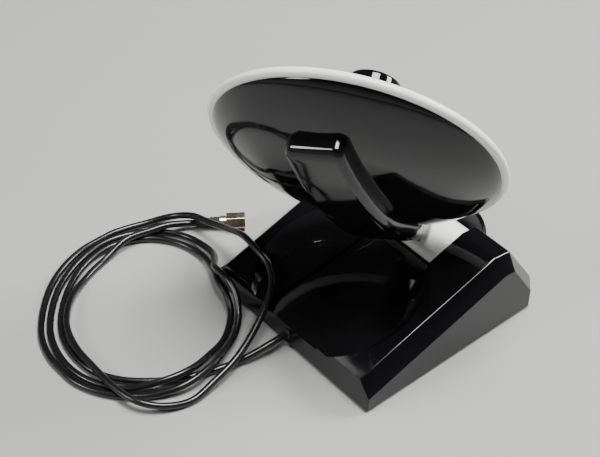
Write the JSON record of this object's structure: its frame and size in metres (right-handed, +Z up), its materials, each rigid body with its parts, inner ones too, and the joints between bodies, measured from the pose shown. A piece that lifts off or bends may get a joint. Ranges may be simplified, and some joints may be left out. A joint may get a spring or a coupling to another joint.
{
  "type": "directional wifi antenna",
  "caption": "Tilting, swivelling dish antenna with a white rim and a raised feed, on a black wedge base with a recess for the folded dish, a white hinge barrel and a coiled coaxial lead.",
  "frame": {"origin": "on the table, under the middle of the base's footprint (the mount underside lies 1 mm above it, on the bottom plate)", "axes": "+Z up; -Y towards the base's low front edge, where the lead comes out; +X to the right seen from that edge. The hinge axis runs along X near the back. The rest pose is the one in the picture."},
  "size_m": [0.1797, 0.2029, 0.1643],
  "materials": {
    "black_gloss": "glossy black plastic, as moulded and polished",
    "black_matt": "fine matt black plastic",
    "white_gloss": "glossy, slightly warm white plastic",
    "steel": "plain cut steel",
    "zinc_screw": "zinc-plated screw steel",
    "pin_steel": "turned steel",
    "black_rubber": "matt black rubber",
    "lead_jacket": "smooth black cable jacket with a soft sheen",
    "washer_plastic": "natural low-friction plastic",
    "reflector_metal": "plain aluminium sheet",
    "board": "green circuit board",
    "copper": "bare copper sheet",
    "plug_plating": "pale gold plating, slightly worn",
    "plug_insulation": "white insulator",
    "gold_contact": "gold plating"
  },
  "bodies": {
    "base": {"base_top_shell": "black_gloss", "base_bottom_plate": "black_matt", "base_screws": "zinc_screw", "rubber_feet": "black_rubber", "front_pad": "black_rubber", "steel_weight": "steel", "weight_screws": "zinc_screw", "hinge_rear_cover": "black_gloss", "cover_screws": "zinc_screw", "lead_bushing": "black_rubber", "hinge_pin_left": "pin_steel", "hinge_pin_right": "pin_steel", "washer_left": "washer_plastic", "washer_right": "washer_plastic", "base_coax": "lead_jacket", "lead": "lead_jacket", "plug_sleeve": "black_rubber", "plug_body": "plug_plating", "plug_nut": "plug_plating", "plug_insulator": "plug_insulation", "plug_contact": "gold_contact"},
    "hinge_head": {"hinge_barrel": "white_gloss", "barrel_cap": "white_gloss", "swivel_washer": "washer_plastic"},
    "dish": {"dish_back_shell": "black_gloss", "dish_front_shell": "white_gloss", "reflector": "reflector_metal", "swivel_pin": "pin_steel", "swivel_ring": "zinc_screw", "root_screws": "zinc_screw", "feed_mast": "black_matt", "feed_housing": "black_gloss", "feed_board": "board", "feed_element": "copper", "feed_director": "reflector_metal", "dish_coax": "lead_jacket"}
  },
  "joints": [
    {"name": "tilt_hinge", "type": "hinge", "parent": "base", "child": "hinge_head", "pos_m": [0, 0.0335, 0.0245], "axis": [-1, 0, 0], "range_deg": [-22, 44]},
    {"name": "swivel", "type": "hinge", "parent": "hinge_head", "child": "dish", "pos_m": [0, 0.0335, 0.0245], "axis": [0, -0.4756, 0.8796], "range_deg": [-65, 5]}
  ]
}
